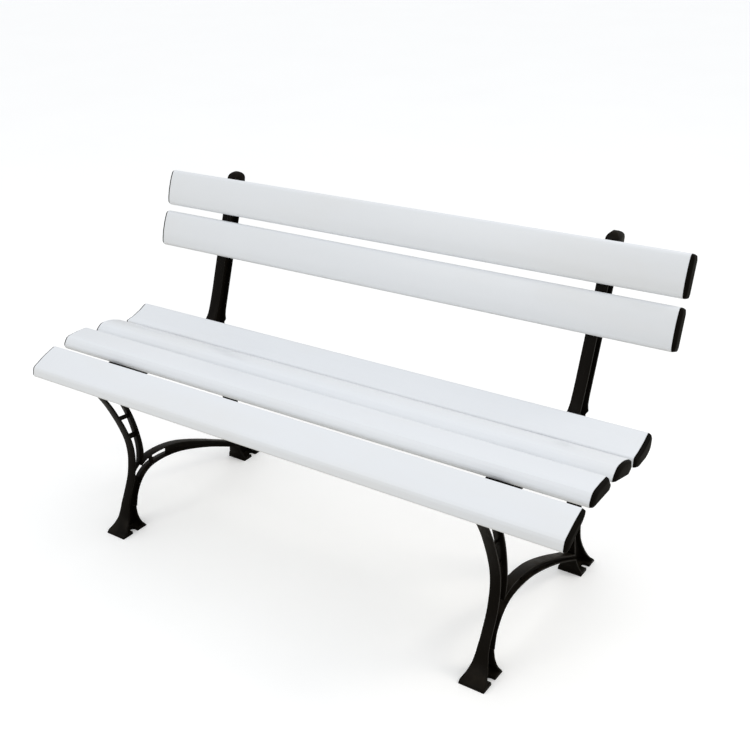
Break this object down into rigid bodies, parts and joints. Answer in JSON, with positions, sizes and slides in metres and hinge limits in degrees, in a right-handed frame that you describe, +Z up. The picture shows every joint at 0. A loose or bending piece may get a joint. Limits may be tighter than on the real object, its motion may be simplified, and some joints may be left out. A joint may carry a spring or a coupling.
{
  "type": "garden bench",
  "caption": "Garden bench with cast side frames, hollow white slats for the seat and back, and a black cap on every slat end.",
  "frame": {"origin": "on the ground, midway along the bench's length and midway between its front and rear edges", "axes": "+X along the bench, to the right of someone who stands in front and faces it; +Y from the front towards the back rest; +Z up"},
  "size_m": [1.413, 0.6042, 0.797],
  "materials": {
    "cast_paint": "cast iron under satin black paint",
    "slat_plastic": "white extruded rigid plastic, satin",
    "cap_plastic": "black moulded plastic, fine matt grain",
    "zinc": "zinc plated steel"
  },
  "bodies": {
    "root": {"side_frame_left": "cast_paint", "side_frame_right": "cast_paint", "seat_slat_front": "slat_plastic", "seat_slat_second": "slat_plastic", "seat_slat_third": "slat_plastic", "seat_slat_rear": "slat_plastic", "back_slat_lower": "slat_plastic", "back_slat_upper": "slat_plastic", "seat_slat_front_cap_left": "cap_plastic", "seat_slat_front_cap_right": "cap_plastic", "seat_slat_second_cap_left": "cap_plastic", "seat_slat_second_cap_right": "cap_plastic", "seat_slat_third_cap_left": "cap_plastic", "seat_slat_third_cap_right": "cap_plastic", "seat_slat_rear_cap_left": "cap_plastic", "seat_slat_rear_cap_right": "cap_plastic", "back_slat_lower_cap_left": "cap_plastic", "back_slat_lower_cap_right": "cap_plastic", "back_slat_upper_cap_left": "cap_plastic", "back_slat_upper_cap_right": "cap_plastic", "seat_slat_front_screw_left_a": "zinc", "seat_slat_front_screw_left_b": "zinc", "seat_slat_front_screw_right_a": "zinc", "seat_slat_front_screw_right_b": "zinc", "seat_slat_second_screw_left_a": "zinc", "seat_slat_second_screw_left_b": "zinc", "seat_slat_second_screw_right_a": "zinc", "seat_slat_second_screw_right_b": "zinc", "seat_slat_third_screw_left_a": "zinc", "seat_slat_third_screw_left_b": "zinc", "seat_slat_third_screw_right_a": "zinc", "seat_slat_third_screw_right_b": "zinc", "seat_slat_rear_screw_left_a": "zinc", "seat_slat_rear_screw_left_b": "zinc", "seat_slat_rear_screw_right_a": "zinc", "seat_slat_rear_screw_right_b": "zinc", "back_slat_lower_bolt_left": "zinc", "back_slat_lower_bolt_right": "zinc", "back_slat_upper_bolt_left": "zinc", "back_slat_upper_bolt_right": "zinc"}
  },
  "joints": []
}
